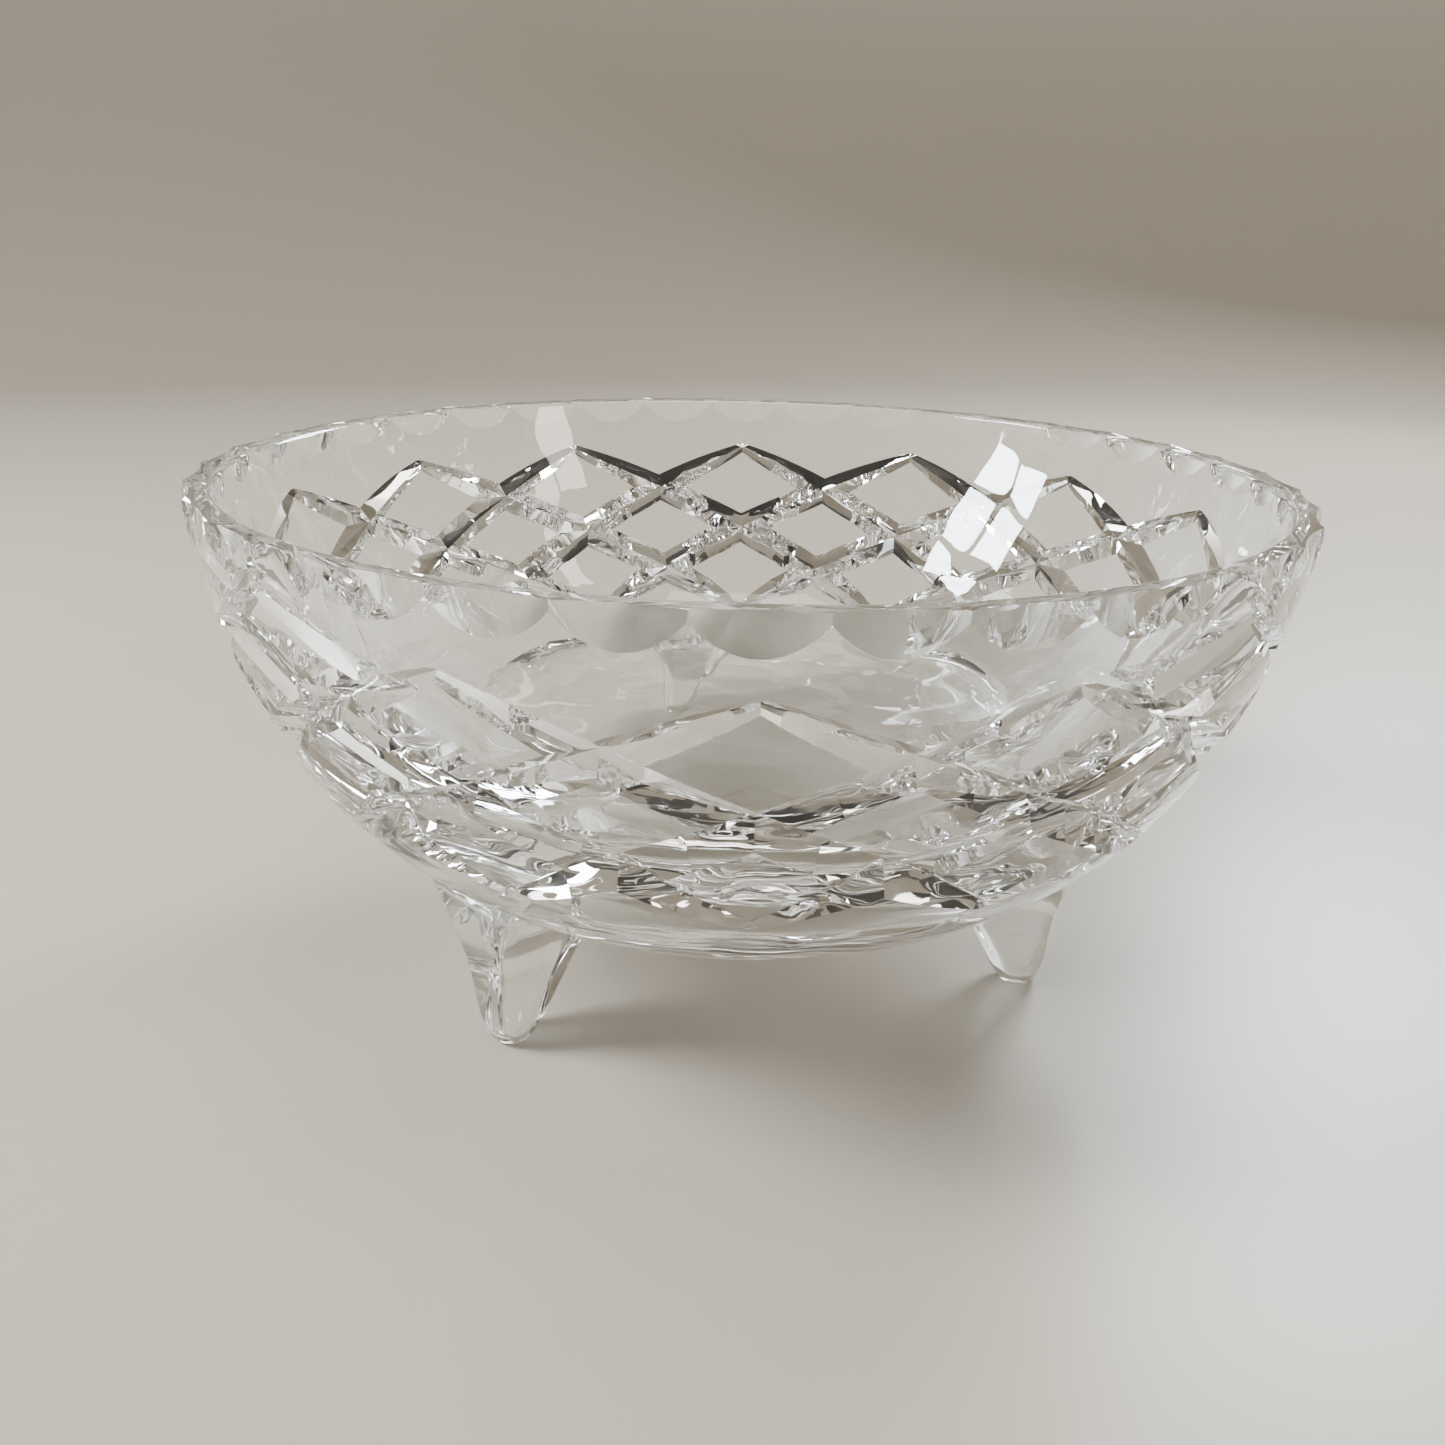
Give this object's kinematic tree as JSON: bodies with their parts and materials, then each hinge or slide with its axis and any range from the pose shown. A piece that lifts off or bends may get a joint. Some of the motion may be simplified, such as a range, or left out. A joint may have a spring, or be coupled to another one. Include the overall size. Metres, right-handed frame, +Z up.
{
  "type": "footed crystal bowl",
  "caption": "Round flared cut-crystal bowl with a scalloped rim and a diamond lattice of V cuts, standing on solid tapered glass feet.",
  "frame": {"origin": "on the table under the middle of the bowl, level with the foot pads", "axes": "+Z up through the open mouth, -Y towards the viewer, +X to the viewer's right"},
  "size_m": [0.1508, 0.1508, 0.074],
  "materials": {
    "crystal": "clear, fire-polished and acid-polished colourless lead crystal"
  },
  "bodies": {
    "root": {"bowl": "crystal", "front_left_foot": "crystal", "right_foot": "crystal", "rear_foot": "crystal"}
  },
  "joints": []
}
